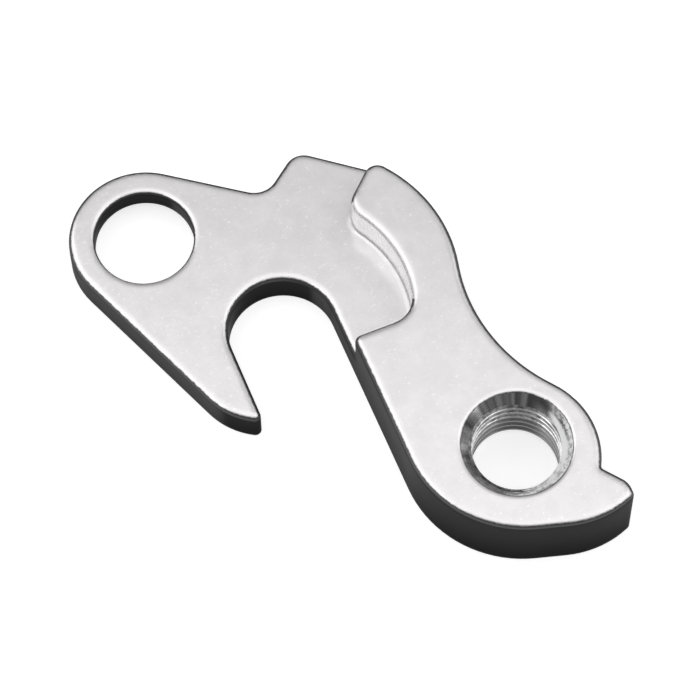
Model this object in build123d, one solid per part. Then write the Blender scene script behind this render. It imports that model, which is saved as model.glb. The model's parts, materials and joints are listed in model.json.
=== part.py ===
"""Bicycle derailleur hanger, one solid of aluminium, in millimetres.

The origin is on the axis of the derailleur hole, in the plane of the flat back. +Z points out of the
front face. The axle slot runs along Y and opens towards -Y.
"""
import os
from math import cos, radians, sin, sqrt, tan

from build123d import *

# Thicknesses, both measured from the flat back
plate_thickness = 4.1
arm_thickness = 8.5

# Derailleur hole at the origin: drilled for an M10 x 1 thread and countersunk at both ends
tap_drill_diameter = 9.0
thread_countersink_diameter = 11.6
thread_rim_round = 0.5

# Axle slot: place of the wheel axle from the derailleur hole, and the slot's width
axle_x = -16.4
axle_y = 22.8
slot_width = 11.2

# Frame bolt hole, with a round recess in the back for the nut's flange
bolt_x = -25.85
bolt_y = 38.0
bolt_hole_diameter = 10.4
nut_recess_diameter = 12.6
nut_recess_depth = 1.8
bolt_rim_radius = 7.9
bolt_hole_round = 0.35

# Hook on the open side of the slot
hook_wall_angle = 68.0
hook_wall_length = 18.1
hook_belly_radius = 8.0
hook_tip_round = 0.65

# Plate edge between the bolt eye and the arm
valley_x = -12.25
valley_y = 37.9
valley_radius = 2.5
crest_x = -7.5
crest_y = 41.55
crest_radius = 2.1
crest_slope = 38.0
ledge_corner_radius = 8.0

# Bottom of the arm
heel_x = -10.55
heel_y = -6.6
heel_radius = 12.5
sole_x = 4.8
sole_y = -11.1
sole_radius = 10.5

# Stop lug beside the derailleur hole
lug_x = 8.75
lug_tip_y = -9.6
lug_tip_round = 0.65
lug_shoulder_y = -8.0
lug_shoulder_radius = 2.0
notch_round = 0.4
notch_angle = -31.0

# Outer side of the arm: a bulge round the derailleur hole, a hollow, and a back like a bow
bulge_x = -0.9
bulge_y = -0.9
bulge_radius = 9.0
hollow_radius = 18.5
back_x = -12.85
back_y = 24.65
back_radius = 15.8

# Raised end of the arm and its step down to the plate
nose_angle = 43.0
nose_round = 1.45
shoulder_radius = 2.1
bay_radius = 13.5
bay_corner_radius = 3.0
seat_y = 17.25
seat_corner_radius = 0.75

# Edges: tumbled round at the front, broken at the back
front_edge_round = 0.6
back_edge_break = 0.2

axle = Vector(axle_x, axle_y)
bolt = Vector(bolt_x, bolt_y)
bulge = Vector(bulge_x, bulge_y)
back = Vector(back_x, back_y)
slot_radius = slot_width / 2
hook_x = axle_x - slot_radius


def polar(centre, radius, angle):
    """Point at a radius and an angle in degrees from a centre."""
    return centre + Vector(radius * cos(radians(angle)), radius * sin(radians(angle)))


def arc_about(centre, start, end):
    """Arc of less than half a turn round a centre."""
    middle = ((start - centre) + (end - centre)).normalized() * (start - centre).length
    return ThreePointArc(start, centre + middle, end)


def tangent_point(point, centre, radius):
    """Point where a line from outside touches a circle that lies on its left."""
    reach = centre - point
    along = (reach.length**2 - radius**2) / reach.length**2
    aside = radius * sqrt(reach.length**2 - radius**2) / reach.length**2
    return point + reach * along + Vector(reach.Y, -reach.X) * aside


def centre_between(first, first_reach, second, second_reach):
    """Centre at given distances from two others, on the right of the line that joins them."""
    span = second - first
    along = (span.length**2 + first_reach**2 - second_reach**2) / (2 * span.length)
    aside = sqrt(first_reach**2 - along**2)
    return first + span.normalized() * along + Vector(span.Y, -span.X).normalized() * aside


def ray_to_circle(start, angle, centre, radius):
    """Point where a ray that starts inside a circle leaves it."""
    ray = Vector(cos(radians(angle)), sin(radians(angle)))
    offset = start - centre
    half = offset.dot(ray)
    return start + ray * (-half + sqrt(half**2 - offset.length**2 + radius**2))


def rounded(edges, corners):
    """Face inside a closed run of edges, with the named corners rounded."""
    face = make_face(edges)
    for corner, radius in corners:
        face = fillet(face.vertices().sort_by_distance(corner)[0], radius)
    return face


# Front wall, which touches the round end of the slot, and corners of the arm that the plate shares
heel = Vector(heel_x, heel_y)
slot_end = tangent_point(heel, axle, slot_radius)
seat_corner = heel + (slot_end - heel) * ((seat_y - heel_y) / (slot_end.Y - heel_y))
sole = Vector(sole_x, sole_y)
lug_tip = Vector(lug_x, lug_tip_y)
lug_shoulder = Vector(lug_x, lug_shoulder_y)
notch = polar(bulge, bulge_radius, notch_angle)
hollow = centre_between(bulge, bulge_radius + hollow_radius, back, back_radius + hollow_radius)
bulge_end = bulge + (hollow - bulge).normalized() * bulge_radius
hollow_end = back + (hollow - back).normalized() * back_radius
back_crown = polar(back, back_radius, 0)


def arm_edges(front_top):
    """Arm from the top of its front wall, round the heel and the lug, to the crown of its back."""
    straights = Polyline(front_top, heel, sole, lug_tip, lug_shoulder, notch)
    bulge_arc = arc_about(bulge, notch, bulge_end)
    hollow_arc = arc_about(hollow, bulge_end, hollow_end)
    back_arc = arc_about(back, hollow_end, back_crown)
    return straights.edges() + [bulge_arc, hollow_arc, back_arc]


arm_corners = [
    (heel, heel_radius),
    (sole, sole_radius),
    (lug_tip, lug_tip_round),
    (lug_shoulder, lug_shoulder_radius),
    (notch, notch_round),
]


def plate_outline():
    """Whole outline of the hanger, as it is at the back."""
    valley = Vector(valley_x, valley_y)
    crest = Vector(crest_x, crest_y)
    ledge_fall = (back_crown.X - crest_x) * tan(radians(crest_slope))
    ledge_corner = Vector(back_crown.X, crest_y - ledge_fall)
    eye_top = tangent_point(valley, bolt, bolt_rim_radius)
    eye_wall = polar(bolt, bolt_rim_radius, 270 - hook_wall_angle)
    eye_side = polar(bolt, bolt_rim_radius, 180 - hook_wall_angle / 2)
    wall_end = polar(eye_wall, hook_wall_length, -hook_wall_angle)
    belly = polar(wall_end, hook_belly_radius, 90 - hook_wall_angle)
    belly_drop = sqrt(hook_belly_radius**2 - (hook_x - belly.X) ** 2)
    hook_tip = Vector(hook_x, belly.Y - belly_drop)
    slot_start = Vector(hook_x, axle_y)
    edges = [
        ThreePointArc(eye_top, eye_side, eye_wall),
        Line(eye_wall, wall_end),
        arc_about(belly, wall_end, hook_tip),
        Line(hook_tip, slot_start),
        ThreePointArc(slot_start, axle + Vector(0, slot_radius), slot_end),
    ]
    edges += arm_edges(slot_end)
    edges += Polyline(back_crown, ledge_corner, crest, valley, eye_top).edges()
    corners = [
        (hook_tip, hook_tip_round),
        (ledge_corner, ledge_corner_radius),
        (crest, crest_radius),
        (valley, valley_radius),
    ]
    return rounded(edges, arm_corners + corners)


def arm_outline():
    """Outline of the thick arm, with the step round the axle's bay."""
    nose = polar(back, back_radius, nose_angle)
    shoulder = ray_to_circle(back, nose_angle, axle, bay_radius)
    bay_run = sqrt(bay_radius**2 - (seat_y - axle_y) ** 2)
    bay_corner = Vector(axle_x + bay_run, seat_y)
    edges = arm_edges(seat_corner) + [
        arc_about(back, back_crown, nose),
        Line(nose, shoulder),
        arc_about(axle, shoulder, bay_corner),
        Line(bay_corner, seat_corner),
    ]
    corners = [
        (nose, nose_round),
        (shoulder, shoulder_radius),
        (bay_corner, bay_corner_radius),
        (seat_corner, seat_corner_radius),
    ]
    return rounded(edges, arm_corners + corners)


def mounting_plate():
    """Thin plate with the bolt hole, its edges tumbled at the front and broken at the back."""
    plate = extrude(plate_outline(), plate_thickness)
    plate -= Pos(bolt) * Cylinder(bolt_hole_diameter / 2, 2 * plate_thickness)
    plate -= Pos(bolt) * Cylinder(nut_recess_diameter / 2, 2 * nut_recess_depth)
    plate = fillet(plate.faces().sort_by(Axis.Z)[-1].outer_wire().edges(), front_edge_round)
    plate = fillet(plate.faces().sort_by(Axis.Z)[-1].inner_wires().edges(), bolt_hole_round)
    return chamfer(plate.faces().sort_by(Axis.Z)[0].edges(), back_edge_break)


def raised_arm():
    """Thick arm, from the middle of the plate to its own front face."""
    foot = plate_thickness / 2
    arm = Pos(0, 0, foot) * extrude(arm_outline(), arm_thickness - foot)
    return fillet(arm.faces().sort_by(Axis.Z)[-1].edges(), front_edge_round)


def derailleur_hole():
    """Tapping drill and the two countersinks, as one turned cutter."""
    drill_radius = tap_drill_diameter / 2
    countersink_radius = thread_countersink_diameter / 2
    countersink_depth = countersink_radius - drill_radius
    section = Polyline(
        (0, 0),
        (countersink_radius, 0),
        (drill_radius, countersink_depth),
        (drill_radius, arm_thickness - countersink_depth),
        (countersink_radius, arm_thickness),
        (0, arm_thickness),
        close=True,
    )
    return revolve(Plane.XZ * make_face(section), Axis.Z)


def tumbled_rim(solid):
    """Rounds the rim of the derailleur hole in the front face of the arm."""
    front = solid.faces().sort_by(Axis.Z)[-1]
    return fillet(front.inner_wires().edges(), thread_rim_round)


def joined(plate, arm):
    """One solid of the plate and the arm, whose outer walls are the same to a thousandth of a millimetre."""
    return plate.fuse(arm, tol=0.001)


hanger = tumbled_rim(joined(mounting_plate(), raised_arm()) - derailleur_hole())

os.makedirs("parts", exist_ok=True)
export_step(hanger, "parts/derailleur_hanger.step")
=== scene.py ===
import json
from math import ceil, pi, radians, tan

import bmesh
import bpy
from mathutils import Matrix, Vector


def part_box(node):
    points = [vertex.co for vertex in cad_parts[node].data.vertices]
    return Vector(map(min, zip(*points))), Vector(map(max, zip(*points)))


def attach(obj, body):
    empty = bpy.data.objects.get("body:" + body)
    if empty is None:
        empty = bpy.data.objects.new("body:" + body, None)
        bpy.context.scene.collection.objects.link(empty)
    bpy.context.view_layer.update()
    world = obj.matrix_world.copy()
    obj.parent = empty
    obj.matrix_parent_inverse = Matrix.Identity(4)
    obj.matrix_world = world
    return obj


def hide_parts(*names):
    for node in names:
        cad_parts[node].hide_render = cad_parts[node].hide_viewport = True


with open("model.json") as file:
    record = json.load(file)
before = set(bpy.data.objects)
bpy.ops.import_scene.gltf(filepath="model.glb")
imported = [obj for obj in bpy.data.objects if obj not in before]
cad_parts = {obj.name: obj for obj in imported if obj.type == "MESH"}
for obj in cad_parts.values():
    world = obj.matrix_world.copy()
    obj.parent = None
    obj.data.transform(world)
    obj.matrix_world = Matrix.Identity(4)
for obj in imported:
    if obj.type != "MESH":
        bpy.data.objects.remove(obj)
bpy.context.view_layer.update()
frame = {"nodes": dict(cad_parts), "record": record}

mm = 0.001

# Thread in the derailleur hole, M10 x 1, tapped in the drilled wall
drilled_hole = next(m for m in frame["record"]["mounts"] if m["name"] == "derailleur_hole")
drill_radius = drilled_hole["dims"]["r_mm"] * mm
thread_radius = 5.0 * mm
thread_pitch = 1.0 * mm
thread_flank = radians(30)
thread_floor = thread_pitch / 8
thread_overlap = thread_pitch / 8
thread_steps = 96

# Finishes, in the order of the hanger's materials
tumbled_finish, milled_finish, turned_finish, tapped_finish = range(4)

# Mesh: points that are one, bends that count as flat, slivers left by the cut, and edges that stay sharp
merge_reach = 0.0005 * mm
flat_angle = radians(0.05)
sliver_reach = 0.0002 * mm
sharp_angle = radians(33)

# Countersinks, up to where the tumbled rim begins, and the slopes that tell them from thread and faces
countersink_radius = 5.65 * mm
countersink_slope = (0.66, 0.75)
face_slope = 0.99

# Step between the plate and the arm, whose wall round the axle is milled bright above the plate's face
step_low = Vector((-10.6, 16.8, 4.05)) * mm
step_high = Vector((-2.0, 34.5, 8.6)) * mm
step_turn = 0.36
step_lean = 0.05
step_foot = 4.1 * mm

# Outline wall along the hook, painted paler as painted light: the way that it faces, and where it starts
flank_way = Vector((-0.93, -0.37, 0.0))
flank_start = 8.0 * mm

# Edges of the outline on the back of the arm, away from the holes, which get more painted shade
painted_shade_way = Vector((0.37, 0.93, 0.0))
painted_shade_boost = 4.0
hole_reach = 6.2 * mm
hole_centres = [Vector(m["pos_m"]) for m in frame["record"]["mounts"] if m["name"].endswith("_hole")]

# Each noise has a scale, in clouds per metre or 1 on a stretched place, a detail and a roughness. Most of its
# values lie in noise_range, and patches of it are picked out by patch_range.
noise_range = (0.3, 0.7)
patch_range = (0.35, 0.6)

# Tumbled finish: wear of the edges, grain of the blasting, dents of the tumbling, clouds and nicks
rim_reach = 6.6 * mm
rim_fade = 1.0 * mm
rim_wear = 0.5 * mm
edge_wear = 0.9 * mm
step_edge = (0.15, 0.5)
step_wear = 0.15
wear_samples = 8
grain_noise = (5200, 2, 0.6)
grain_strength, grain_depth = 0.14, 0.03 * mm
dent_noise = (1300, 2, 0.5)
dent_strength, dent_depth = 0.08, 0.05 * mm
cloud_noise = (420, 4, 0.65)
cloud_tones = ((0.765, 0.75, 0.755, 1), (0.825, 0.81, 0.815, 1))
nick_runs = ((25, 1500, 5200), (-40, 1300, 4600), (75, 2600, 2600))
nick_rise = 2600
nick_noise = (1, 1, 0.5)
nick_range = (0.68, 0.78)
nick_tone = 0.92
face_metal, bare_metal = 0.7, 1.0
face_roughness, wall_roughness = 0.23, 0.42

# Painted shade on the outline walls: its ragged border, its tones, with painted light on the hook's wall, and
# its darkening towards the back
border_noise = (2400, 2, 0.7)
border_reach = 0.045
border_facing = (0.08, 0.25)
upright_facing = (0.4, 0.95)
edge_shade_tone, wall_shade_tone, flank_light_tone = 0.13, 0.024, 0.07
flank_light_share = (0.95, 1.0)
shade_heights = (-2.0 * mm, 8.0 * mm)
shade_share = 0.24
wall_sheen = 0.56

# Milled wall of the step: upright cutter marks, and a painted shade line along its foot
cutter_scale = (2600, 2600, 250)
cutter_noise = (1, 2, 0.5)
cutter_strength, cutter_depth = 0.03, 0.02 * mm
milled_tones = (0.73, 0.76)
milled_roughness = (0.2, 0.28)
foot_shade_line = (0.02 * mm, 0.12 * mm)
foot_shade_tone = 0.35

# Turned countersinks: chatter round the cone, the side the blasting reached and the lip beside it, both
# painted paler as painted light, painted shade on one side, and the scrape
chatter_scale, chatter_detail = 26.0, 2.0
chatter_tones = (0.22, 0.8)
# Side that the blasting reached and the lip beside it, both painted paler as painted light
blasted_lit_way = Vector((0.57, -0.82, 0.0))
blasted_lit_reach = (0.8 * mm, 4.4 * mm)
blasted_lit_noise = (1500, 3, 0.7)
blasted_lit_spill = 1.2 * mm
blasted_lit_tones = (0.4, 0.95)
lip_way = Vector((-0.55, -0.83, 0.0))
lip_reach = (2.5 * mm, 5.0 * mm)
lip_light_share = 0.35
# Painted shade on one side of the cone: its way, reach and tone
cone_shade_way = Vector((0.96, 0.27, 0.0))
cone_shade_reach = (4.2 * mm, 5.0 * mm)
cone_shade_tone = 0.2
scraped_way = Vector((0.97, -0.23, 0.0))
scraped_reach = (3.6 * mm, 4.4 * mm)
scraped_radius = (4.95 * mm, 5.2 * mm)
scraped_tone = 0.98
turned_metal, pale_metal = 0.9, 0.1
turned_roughness, blasted_roughness = 0.2, 0.5

# Tapped thread: bright edges and torn grooves, with painted shade in the grooves, on the flat crests and
# deeper in the hole
groove_depth = (0.02 * mm, 0.12 * mm)
crest_facing = (0.55, 0.9)
crest_shade_tone = 0.16
torn_noise = (1700, 3, 0.6)
groove_shade_tones = (0.1, 0.4)
bright_tones = (0.6, 0.95)
deep_shade_heights = (3.4 * mm, 4.8 * mm)
deep_shade_tone = 0.18
thread_roughness = (0.22, 0.35)

# Studio: floor with a low backdrop, its paper, and the room
floor_gap = 0.02 * mm
floor_reach = 3.0
backdrop_height = 0.2
floor_sides = 64
floor_merge = 0.001 * mm
paper_tone = 0.6
paper_roughness = 0.9
paper_lift = 0.7
room_tone = 0.12

# Lamps: name, azimuth and elevation in degrees from the camera's side, distance, width, height and radiance
softboxes = (
    ("overhead_softbox", -2, 87.5, 0.6, 0.95, 0.65, 1.18),
    ("far_softbox", 190, 51, 0.8, 1.2, 0.36, 0.47),
    ("left_softbox", -92, 39, 0.8, 1.1, 0.62, 1.15),
    ("right_softbox", 95, 40, 0.8, 1.0, 0.6, 0.9),
)

# Camera, from the photograph's perspective
view_centre = Vector((-10.18, 19.59, 0.0)) * mm
view_azimuth = radians(-21.5)
view_elevation = radians(65.3)
view_roll = radians(-0.85)
view_distance = 395.8 * mm
lens_length = 195.43
sensor_width = 36.0
near_clip = 0.01


def linked(name, data):
    """New object in the scene with this mesh, lamp or lens."""
    made = bpy.data.objects.new(name, data)
    bpy.context.scene.collection.objects.link(made)
    return made


def mesh_of(name, bm):
    """Mesh from a finished bmesh."""
    mesh = bpy.data.meshes.new(name)
    bm.to_mesh(mesh)
    bm.free()
    return mesh


def thread_groove():
    """Helical groove with 30 degree flanks, closed at both ends, from below the back to above the front."""
    low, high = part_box("derailleur_hanger")
    turns = ceil((high.z - low.z) / thread_pitch) + 2
    inner_radius = drill_radius - thread_overlap
    mouth = thread_floor + 2 * (thread_radius - inner_radius) * tan(thread_flank)
    bm = bmesh.new()
    corners = [
        (thread_radius, -thread_floor / 2),
        (thread_radius, thread_floor / 2),
        (inner_radius, mouth / 2),
        (inner_radius, -mouth / 2),
    ]
    start = low.z - thread_pitch
    section = bm.faces.new([bm.verts.new((radius, 0, start + rise)) for radius, rise in corners])
    bmesh.ops.spin(
        bm,
        geom=[section],
        cent=(0, 0, 0),
        axis=(0, 0, 1),
        dvec=(0, 0, thread_pitch / thread_steps),
        angle=2 * pi * turns,
        steps=thread_steps * turns,
        use_merge=False,
    )
    bmesh.ops.recalc_face_normals(bm, faces=bm.faces)
    return linked("thread_groove", mesh_of("thread_groove", bm))


def hanger_blank():
    """Merged copy of the solid hanger, with each flat face in as few pieces as it can be."""
    bm = bmesh.new()
    bm.from_mesh(frame["nodes"]["derailleur_hanger"].data)
    bmesh.ops.remove_doubles(bm, verts=bm.verts, dist=merge_reach)
    bmesh.ops.dissolve_limit(bm, angle_limit=flat_angle, verts=bm.verts, edges=bm.edges)
    mesh = mesh_of("tapped_hanger", bm)
    if "custom_normal" in mesh.attributes:
        mesh.attributes.remove(mesh.attributes["custom_normal"])
    return linked("tapped_hanger", mesh)


def baked(piece):
    """Puts a piece's modifiers into its mesh."""
    bpy.context.view_layer.update()
    depsgraph = bpy.context.evaluated_depsgraph_get()
    mesh = bpy.data.meshes.new_from_object(piece.evaluated_get(depsgraph))
    piece.modifiers.clear()
    piece.data = mesh


def by_step(place):
    """Whether a point is in the box round the step."""
    return all(low <= value <= high for low, value, high in zip(step_low, place, step_high))


def on_step(place, normal):
    """Whether a point is on the bright wall of the step."""
    return by_step(place) and normal.xy.normalized().y < step_turn


def finish_of(face):
    """Finish of a face: milled on the step, turned in the countersinks, tapped in the thread, or tumbled."""
    slope = abs(face.normal.z)
    centre = face.calc_center_median()
    if on_step(centre, face.normal) and slope < step_lean:
        return milled_finish
    if centre.xy.length > countersink_radius or slope > face_slope:
        return tumbled_finish
    low, high = countersink_slope
    return turned_finish if low < slope < high else tapped_finish


def sort_finishes(piece):
    """Clears away slivers and gives each face its finish and smooth shading."""
    bm = bmesh.new()
    bm.from_mesh(piece.data)
    bmesh.ops.dissolve_degenerate(bm, dist=sliver_reach, edges=bm.edges)
    bm.normal_update()
    for face in bm.faces:
        face.smooth = True
        face.material_index = finish_of(face)
    bm.to_mesh(piece.data)
    bm.free()


def painted_shade_gain(place, normal):
    """Gain of the painted shade on an edge: 1 at the holes and the step, more on the back of the outline."""
    by_hole = any((place - centre).xy.length < hole_reach for centre in hole_centres)
    if by_hole or by_step(place):
        return 1.0
    return 1.0 + painted_shade_boost * max(0.0, normal.dot(painted_shade_way))


def mark_walls(piece):
    """Marks how far each corner faces sideways, as step or as wall with its painted shade gain, and how far
    it faces the flank's way.
    """
    mesh = piece.data
    names = ("wall", "step", "flank")
    for name in names:
        mesh.attributes.new(name, "FLOAT", "CORNER")
    wall, step, flank = (mesh.attributes[name].data for name in names)
    for corner, loop in enumerate(mesh.loops):
        place = mesh.vertices[loop.vertex_index].co
        normal = mesh.corner_normals[corner].vector
        sideways = 1.0 - abs(normal.z)
        if on_step(place, normal):
            step[corner].value = sideways
        else:
            wall[corner].value = sideways * painted_shade_gain(place, normal)
        if place.y > flank_start:
            flank[corner].value = max(0.0, normal.dot(flank_way))


def tapped_hanger():
    """Hanger with its thread cut, shaded smooth over the tumbled edges and sharp at the cut ones."""
    hanger = hanger_blank()
    groove = thread_groove()
    cut = hanger.modifiers.new("thread", "BOOLEAN")
    cut.operation = "DIFFERENCE"
    cut.solver = "EXACT"
    cut.object = groove
    baked(hanger)
    bpy.data.objects.remove(groove)
    hanger.data.materials.clear()
    for finish in (tumbled_aluminium(), milled_step(), turned_countersink(), tapped_thread()):
        hanger.data.materials.append(finish)
    sort_finishes(hanger)
    hanger.data.set_sharp_from_angle(angle=sharp_angle)
    normals = hanger.modifiers.new("normals", "WEIGHTED_NORMAL")
    normals.keep_sharp = True
    baked(hanger)
    mark_walls(hanger)
    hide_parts("derailleur_hanger")
    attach(hanger, "root")


def new_material(name):
    """Material with a plain shader, its tree and its shader node."""
    material = bpy.data.materials.new(name)
    material.use_nodes = True
    tree = material.node_tree
    return material, tree, tree.nodes["Principled BSDF"]


def fill(tree, sockets, values):
    """Links a node's sockets to other nodes, or sets their values, by the sockets' names or numbers."""
    for name, value in values.items():
        if isinstance(value, bpy.types.NodeSocket):
            tree.links.new(value, sockets[name])
        else:
            sockets[name].default_value = value


def add(tree, kind, inputs=None, **settings):
    """New node with these settings, input values and input links."""
    made = tree.nodes.new(kind)
    for name, value in settings.items():
        setattr(made, name, value)
    fill(tree, made.inputs, inputs or {})
    return made


def blend(tree, share, first, second):
    """Colour between two colours."""
    made = add(tree, "ShaderNodeMix", data_type="RGBA")
    sockets = {socket.name: socket for socket in made.inputs if socket.enabled}
    fill(tree, sockets, {"Factor": share, "A": first, "B": second})
    return next(socket for socket in made.outputs if socket.enabled)


def noise(tree, place, scale, detail, roughness):
    """Cloudy values from 0 to 1."""
    inputs = {"Vector": place, "Scale": scale, "Detail": detail, "Roughness": roughness}
    return add(tree, "ShaderNodeTexNoise", inputs).outputs["Fac"]


def spread(tree, value, start, end, low=0.0, high=1.0):
    """Value that goes smoothly from low to high between start and end."""
    inputs = {"Value": value, "From Min": start, "From Max": end, "To Min": low, "To Max": high}
    return add(tree, "ShaderNodeMapRange", inputs, interpolation_type="SMOOTHSTEP").outputs["Result"]


def stretched(tree, place, scale, turn=0):
    """Place with its own scale along each axis, turned by some degrees about the upright one."""
    inputs = {"Vector": place, "Rotation": (0, 0, radians(turn)), "Scale": scale}
    return add(tree, "ShaderNodeMapping", inputs).outputs["Vector"]


def bump(tree, height, strength, depth, normal):
    """Normal of a surface with bumps on it."""
    inputs = {"Height": height, "Strength": strength, "Distance": depth, "Normal": normal}
    return add(tree, "ShaderNodeBump", inputs).outputs["Normal"]


def both(tree, operation, first, second):
    """Two values put together: their sum, their product or the greater one."""
    return add(tree, "ShaderNodeMath", {0: first, 1: second}, operation=operation).outputs["Value"]


def place_on(tree):
    """Place on the hanger, in its own coordinates."""
    return add(tree, "ShaderNodeTexCoord").outputs["Object"]


def mark(tree, name):
    """One of the marks that mark_walls leaves."""
    return add(tree, "ShaderNodeAttribute", attribute_name=name).outputs["Fac"]


def height_of(tree, place):
    """Height above the flat back."""
    return add(tree, "ShaderNodeSeparateXYZ", {"Vector": place}).outputs["Z"]


def distance(tree, place):
    """Distance from the axis of the derailleur hole."""
    flat = {0: place, 1: (1, 1, 0)}
    flat = add(tree, "ShaderNodeVectorMath", flat, operation="MULTIPLY").outputs["Vector"]
    return add(tree, "ShaderNodeVectorMath", {0: flat}, operation="LENGTH").outputs["Value"]


def along(tree, place, way):
    """Distance from the derailleur hole's axis along a way."""
    inputs = {0: place, 1: way}
    return add(tree, "ShaderNodeVectorMath", inputs, operation="DOT_PRODUCT").outputs["Value"]


def grey(level):
    """Grey colour."""
    return (level, level, level, 1)


def greys(tree, share, levels):
    """Grey between two levels."""
    low, high = levels
    return blend(tree, share, grey(low), grey(high))


def tumbled_aluminium():
    """Faces with a bead blasting and tumbling finish, small nicks and bright worn edges, and outline walls
    darkened by painted shade.
    """
    material, tree, shader = new_material("tumbled_aluminium")
    link = tree.links.new
    place = place_on(tree)
    step = mark(tree, "step")

    # Grain of the blasting and wider dents of the tumbling, over edges that are worn off softly
    wear = spread(tree, distance(tree, place), rim_reach, rim_reach + rim_fade, rim_wear, edge_wear)
    wear = both(tree, "MULTIPLY", wear, spread(tree, step, *step_edge, 1.0, step_wear))
    worn = add(tree, "ShaderNodeBevel", {"Radius": wear}, samples=wear_samples).outputs["Normal"]
    grain = noise(tree, place, *grain_noise)
    grained = bump(tree, grain, grain_strength, grain_depth, worn)
    dents = noise(tree, place, *dent_noise)
    link(bump(tree, dents, dent_strength, dent_depth, grained), shader.inputs["Normal"])

    # Cloudy tone of the faces, with small bright nicks
    clouds = noise(tree, place, *cloud_noise)
    tone = blend(tree, spread(tree, clouds, *noise_range), *cloud_tones)
    for turn, length_scale, width_scale in nick_runs:
        turned = stretched(tree, place, (length_scale, width_scale, nick_rise), turn)
        nicks = spread(tree, noise(tree, turned, *nick_noise), *nick_range)
        tone = blend(tree, nicks, tone, grey(nick_tone))

    # Painted shade on the outline walls, with a ragged border along the worn edges, darker towards the back
    facing = mark(tree, "wall")
    ragged = noise(tree, place, *border_noise)
    ragged = spread(tree, ragged, *noise_range, -border_reach, border_reach)
    wall = spread(tree, both(tree, "ADD", facing, ragged), *border_facing)
    # Painted light: the outline wall along the hook is painted paler
    dark = greys(tree, spread(tree, mark(tree, "flank"), *flank_light_share), (wall_shade_tone, flank_light_tone))
    dark = blend(tree, spread(tree, facing, *upright_facing), grey(edge_shade_tone), dark)
    shade = spread(tree, height_of(tree, place), *shade_heights, shade_share, 0.0)
    dark = blend(tree, shade, dark, grey(0.0))
    link(greys(tree, shade, (wall_sheen, 0.0)), shader.inputs["Specular Tint"])
    link(blend(tree, wall, tone, dark), shader.inputs["Base Color"])
    bare = both(tree, "MAXIMUM", wall, spread(tree, step, *step_edge))
    link(spread(tree, bare, 0, 1, face_metal, bare_metal), shader.inputs["Metallic"])
    link(spread(tree, wall, 0, 1, face_roughness, wall_roughness), shader.inputs["Roughness"])
    return material


def milled_step():
    """Bright milled wall with upright cutter marks and a fine painted shade line along its foot."""
    material, tree, shader = new_material("milled_step")
    link = tree.links.new
    place = place_on(tree)
    shader.inputs["Metallic"].default_value = bare_metal
    marks = noise(tree, stretched(tree, place, cutter_scale), *cutter_noise)
    straight = add(tree, "ShaderNodeNewGeometry").outputs["Normal"]
    link(bump(tree, marks, cutter_strength, cutter_depth, straight), shader.inputs["Normal"])
    tone = greys(tree, spread(tree, marks, *noise_range), milled_tones)
    # Painted shade: a dark line along the foot of the wall
    line_start, line_end = foot_shade_line
    above_foot = spread(tree, height_of(tree, place), step_foot + line_start, step_foot + line_end)
    link(blend(tree, above_foot, grey(foot_shade_tone), tone), shader.inputs["Base Color"])
    link(spread(tree, marks, *noise_range, *milled_roughness), shader.inputs["Roughness"])
    return material


def turned_countersink():
    """Turned cone with streaks of chatter, painted shade on one side, matte and painted paler where the
    blasting reached and on the lip, and bright where scraped.
    """
    material, tree, shader = new_material("turned_countersink")
    link = tree.links.new
    place = place_on(tree)

    # Streaks of chatter round the cone, with painted shade on one side
    angle = add(tree, "ShaderNodeTexGradient", {"Vector": place}, gradient_type="RADIAL").outputs["Fac"]
    streaks = {"W": angle, "Scale": chatter_scale, "Detail": chatter_detail}
    streaks = add(tree, "ShaderNodeTexNoise", streaks, noise_dimensions="1D").outputs["Fac"]
    turned = greys(tree, spread(tree, streaks, *noise_range), chatter_tones)
    cone_shade = spread(tree, along(tree, place, cone_shade_way), *cone_shade_reach)
    turned = blend(tree, cone_shade, turned, grey(cone_shade_tone))

    # Matte side that the blasting reached, unevenly, and the lip beside it, both painted paler as painted
    # light
    rough = noise(tree, place, *blasted_lit_noise)
    spill = spread(tree, rough, *noise_range, -blasted_lit_spill, blasted_lit_spill)
    blasted_lit = both(tree, "ADD", along(tree, place, blasted_lit_way), spill)
    blasted_lit = spread(tree, blasted_lit, *blasted_lit_reach)
    lip = spread(tree, along(tree, place, lip_way), *lip_reach, 0.0, lip_light_share)
    blasted_lit = both(tree, "MAXIMUM", blasted_lit, lip)
    pale = greys(tree, spread(tree, rough, *patch_range), blasted_lit_tones)
    tone = blend(tree, blasted_lit, turned, pale)

    # Bright crescent along the thread, where the tap scraped the cone
    inner = spread(tree, distance(tree, place), *scraped_radius, 1.0, 0.0)
    scraped = spread(tree, along(tree, place, scraped_way), *scraped_reach)
    scraped = both(tree, "MULTIPLY", inner, scraped)
    link(blend(tree, scraped, tone, grey(scraped_tone)), shader.inputs["Base Color"])
    bare = both(tree, "MAXIMUM", blasted_lit, scraped)
    link(spread(tree, bare, 0, 1, turned_metal, pale_metal), shader.inputs["Metallic"])
    link(spread(tree, blasted_lit, 0, 1, turned_roughness, blasted_roughness), shader.inputs["Roughness"])
    return material


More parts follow.
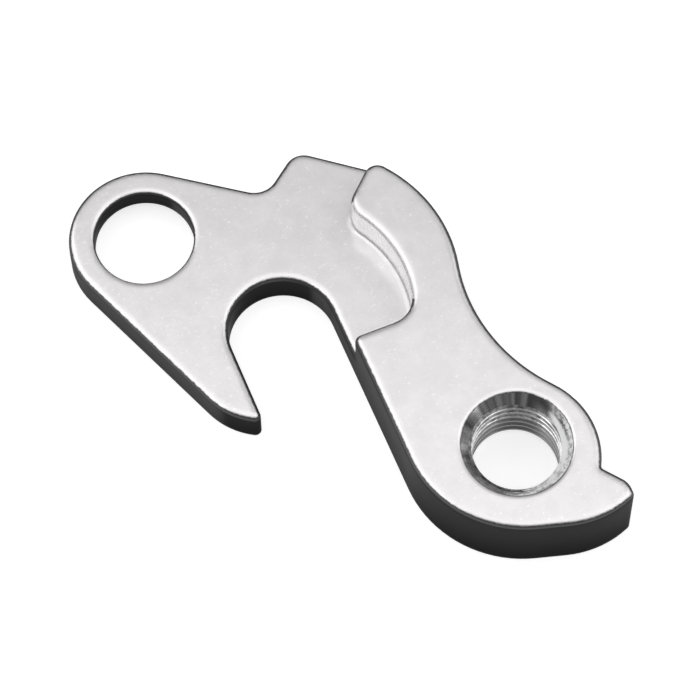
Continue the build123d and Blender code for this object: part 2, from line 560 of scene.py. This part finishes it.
def tapped_thread():
    """Cut thread with bright edges along its crests, and painted shade in its torn grooves, on its flat
    crests and deeper in the hole.
    """
    material, tree, shader = new_material("tapped_thread")
    link = tree.links.new
    place = place_on(tree)
    shader.inputs["Metallic"].default_value = bare_metal
    groove_start, groove_end = groove_depth
    groove = spread(tree, distance(tree, place), drill_radius + groove_start, drill_radius + groove_end)
    torn = noise(tree, place, *torn_noise)
    # Painted shade in the grooves, mottled where the thread tore
    groove_shade = greys(tree, spread(tree, torn, *noise_range), groove_shade_tones)
    bright = greys(tree, spread(tree, torn, *patch_range), bright_tones)
    tone = blend(tree, groove, bright, groove_shade)
    crest = spread(tree, mark(tree, "wall"), *crest_facing)
    # Painted shade on the flat crests
    tone = blend(tree, crest, tone, grey(crest_shade_tone))
    # Painted shade deeper in the hole
    shallow = spread(tree, height_of(tree, place), *deep_shade_heights)
    link(blend(tree, shallow, grey(deep_shade_tone), tone), shader.inputs["Base Color"])
    link(spread(tree, groove, 0, 1, *thread_roughness), shader.inputs["Roughness"])
    return material


def studio_floor():
    """Pale floor that ends in a low backdrop far behind the part."""
    low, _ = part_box("derailleur_hanger")
    floor_height = low.z - floor_gap
    bm = bmesh.new()
    middle = bm.verts.new((0, 0, floor_height))
    edge = bm.verts.new((floor_reach, 0, floor_height))
    top = bm.verts.new((floor_reach, 0, backdrop_height))
    profile = [bm.edges.new((middle, edge)), bm.edges.new((edge, top))]
    bmesh.ops.spin(
        bm,
        geom=profile,
        cent=(0, 0, 0),
        axis=(0, 0, 1),
        angle=2 * pi,
        steps=floor_sides,
        use_merge=True,
    )
    bmesh.ops.remove_doubles(bm, verts=bm.verts, dist=floor_merge)
    bmesh.ops.recalc_face_normals(bm, faces=bm.faces)
    floor = linked("studio_floor", mesh_of("studio_floor", bm))
    floor.data.materials.append(pale_paper())


def pale_paper():
    """White paper, lifted to white for the camera and for reflections, with the shadow kept."""
    material, tree, shader = new_material("pale_paper")
    shader.inputs["Base Color"].default_value = grey(paper_tone)
    shader.inputs["Roughness"].default_value = paper_roughness
    shader.inputs["Specular IOR Level"].default_value = 0.0
    shader.inputs["Emission Color"].default_value = grey(1)
    rays = add(tree, "ShaderNodeLightPath").outputs
    seen = both(tree, "MAXIMUM", rays["Is Camera Ray"], rays["Is Glossy Ray"])
    seen = both(tree, "MAXIMUM", seen, rays["Is Transmission Ray"])
    tree.links.new(spread(tree, seen, 0, 1, 0, paper_lift), shader.inputs["Emission Strength"])
    return material


def softbox(name, azimuth, elevation, reach, width, height, radiance):
    """Soft rectangular lamp that faces the part, placed from the camera's side, with an even radiance."""
    lamp = bpy.data.lights.new(name, "AREA")
    lamp.shape = "RECTANGLE"
    lamp.size = width
    lamp.size_y = height
    lamp.energy = radiance * pi * width * height
    made = linked(name, lamp)
    turn = Matrix.Rotation(view_azimuth + radians(azimuth), 3, "Z")
    turn = turn @ Matrix.Rotation(pi / 2 - radians(elevation), 3, "X")
    made.matrix_world = turn.to_4x4()
    made.location = view_centre + turn @ Vector((0, 0, reach))


def dim_room():
    """Dim grey surroundings."""
    world = bpy.data.worlds.new("dim_room")
    world.use_nodes = True
    world.node_tree.nodes["Background"].inputs["Color"].default_value = grey(room_tone)
    bpy.context.scene.world = world


def photo_camera():
    """Camera at the photograph's angle."""
    lens = bpy.data.cameras.new("photo_camera")
    lens.lens = lens_length
    lens.sensor_width = sensor_width
    lens.clip_start = near_clip
    camera = linked("photo_camera", lens)
    turn = Matrix.Rotation(view_azimuth, 3, "Z")
    turn = turn @ Matrix.Rotation(pi / 2 - view_elevation, 3, "X")
    turn = turn @ Matrix.Rotation(view_roll, 3, "Z")
    camera.matrix_world = turn.to_4x4()
    camera.location = view_centre + turn @ Vector((0, 0, view_distance))
    bpy.context.scene.camera = camera


tapped_hanger()
studio_floor()
dim_room()
for softbox_values in softboxes:
    softbox(*softbox_values)
photo_camera()
bpy.context.scene.view_settings.view_transform = "Standard"
